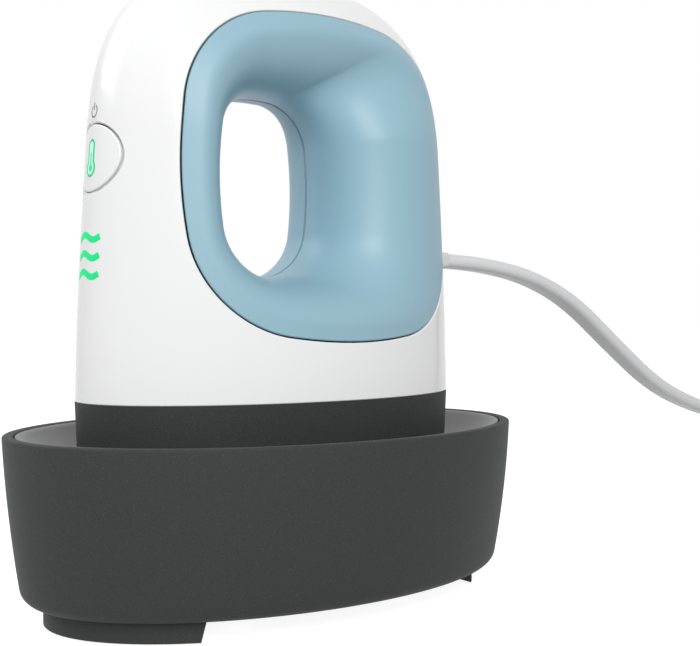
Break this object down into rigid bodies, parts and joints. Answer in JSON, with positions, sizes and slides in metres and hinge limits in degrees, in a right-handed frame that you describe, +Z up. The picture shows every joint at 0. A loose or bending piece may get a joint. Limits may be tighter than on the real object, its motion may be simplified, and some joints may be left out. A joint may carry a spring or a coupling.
{
  "type": "mini heat press",
  "caption": "Small handheld heat press with a closed handle, standing in an oval safety base; it lifts out, its front button presses, and a flat mains cord leaves the rear.",
  "frame": {"origin": "centre of the base's footprint, on the surface that its feet stand on", "axes": "+Z up, -Y towards the button on the press's front, +X to the press's right-hand grip"},
  "size_m": [0.1198, 0.3304, 0.1382],
  "materials": {
    "base_charcoal": "fine spark texture, matt",
    "liner_grey": "satin",
    "pad_rubber": "matt",
    "steel": "zinc-plated satin",
    "collar_black": "fine texture, matt",
    "body_white": "gloss",
    "grip_blue": "satin",
    "plate_ceramic": "satin ceramic coat",
    "shield_metal": "satin",
    "blanket_fibre": "felted fibre",
    "frame_plastic": "natural, heat-resistant",
    "board_green": "solder mask",
    "part_black": "moulded",
    "terminal_green": "moulded",
    "light_green": "clear light guide, lit green",
    "wire_insulation": "silicone",
    "cord_grey": "smooth soft vinyl",
    "tie_black": "hook-and-loop tape",
    "blade_brass": "polished"
  },
  "bodies": {
    "base": {"base_shell": "base_charcoal", "base_liner": "liner_grey", "front_foot": "base_charcoal", "rear_foot": "base_charcoal", "foot_pads": "pad_rubber", "rest_pads": "pad_rubber", "base_screws": "steel", "cord_lead": "cord_grey", "cord_coil": "cord_grey", "cord_tie": "tie_black", "plug_body": "cord_grey", "plug_blades": "blade_brass"},
    "press": {"housing": "body_white", "grip_left": "grip_blue", "grip_right": "grip_blue", "heat_collar": "collar_black", "heat_plate": "plate_ceramic", "heating_element": "steel", "element_pins": "steel", "thermistor": "part_black", "thermal_fuse": "part_black", "fuse_clip": "steel", "insulation_blanket": "blanket_fibre", "heat_shield": "shield_metal", "plate_standoffs": "steel", "plate_screws": "steel", "chassis": "frame_plastic", "chassis_screws": "steel", "power_board": "board_green", "board_screws": "steel", "relay": "part_black", "transformer": "part_black", "terminal_block": "terminal_green", "capacitor": "shield_metal", "buzzer": "part_black", "control_board": "board_green", "control_screws": "steel", "control_chip": "part_black", "switch_body": "part_black", "indicator_leds": "light_green", "wave_light_guide": "light_green", "ribbon_cable": "wire_insulation", "element_wires": "wire_insulation", "sensor_wires": "wire_insulation", "mains_wires": "wire_insulation", "cord_clamp": "frame_plastic", "clamp_screws": "steel", "strain_relief": "cord_grey"},
    "button": {"button_cap": "body_white", "button_light_guide": "light_green"},
    "plunger": {"switch_plunger": "part_black"}
  },
  "joints": [
    {"name": "press_lift", "type": "slide", "parent": "base", "child": "press", "axis": [0, 0, 1], "range_m": [0, 0.06]},
    {"name": "button_press", "type": "slide", "parent": "press", "child": "button", "axis": [0, 1, 0], "range_m": [0, 0.0008], "stiffness_N_per_m": 600, "springref_m": -0.002},
    {"name": "plunger_press", "type": "slide", "parent": "press", "child": "plunger", "axis": [0, 1, 0], "range_m": [0, 0.0008]}
  ],
  "couplings": [
    {"joint": "plunger_press", "follows": "button_press", "ratio": 1}
  ]
}
